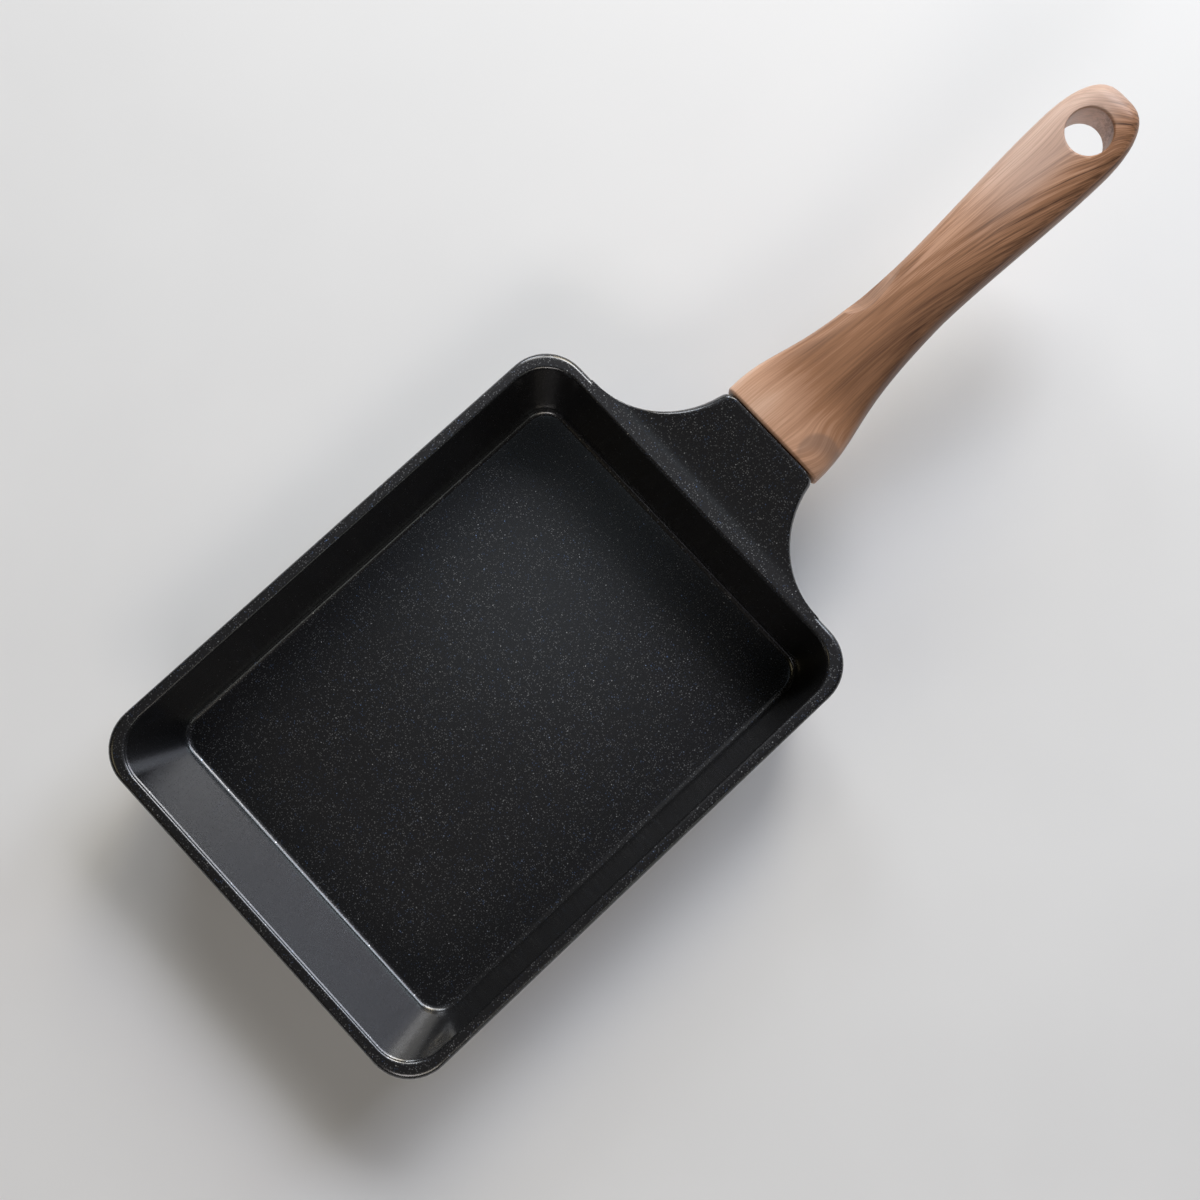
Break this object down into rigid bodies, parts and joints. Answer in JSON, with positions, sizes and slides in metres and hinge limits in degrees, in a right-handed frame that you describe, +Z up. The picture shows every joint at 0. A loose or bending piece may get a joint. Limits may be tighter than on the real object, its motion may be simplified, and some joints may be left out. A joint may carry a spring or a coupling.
{
  "type": "tamagoyaki pan",
  "caption": "Rectangular coated frying pan for rolled omelettes, with one long sloping wall, a rising neck and a wood-grain handle with a hanging hole.",
  "frame": {"origin": "middle of the flat underside of the base", "axes": "+X from the tray towards the handle, +Z up out of the open tray"},
  "size_m": [0.3507, 0.138, 0.0731],
  "materials": {
    "coated_casting": "black speckled non-stick coat on cast aluminium, satin",
    "plate_steel": "rolled magnetic stainless, lightly brushed",
    "woodgrain_moulding": "wood-grain print on heat-proof moulding, satin",
    "screw_steel": "plated steel",
    "washer_steel": "plated steel"
  },
  "bodies": {
    "root": {"pan_body": "coated_casting", "induction_plate": "plate_steel", "handle": "woodgrain_moulding", "handle_screw": "screw_steel", "spring_washer": "washer_steel", "flat_washer": "washer_steel"}
  },
  "joints": []
}
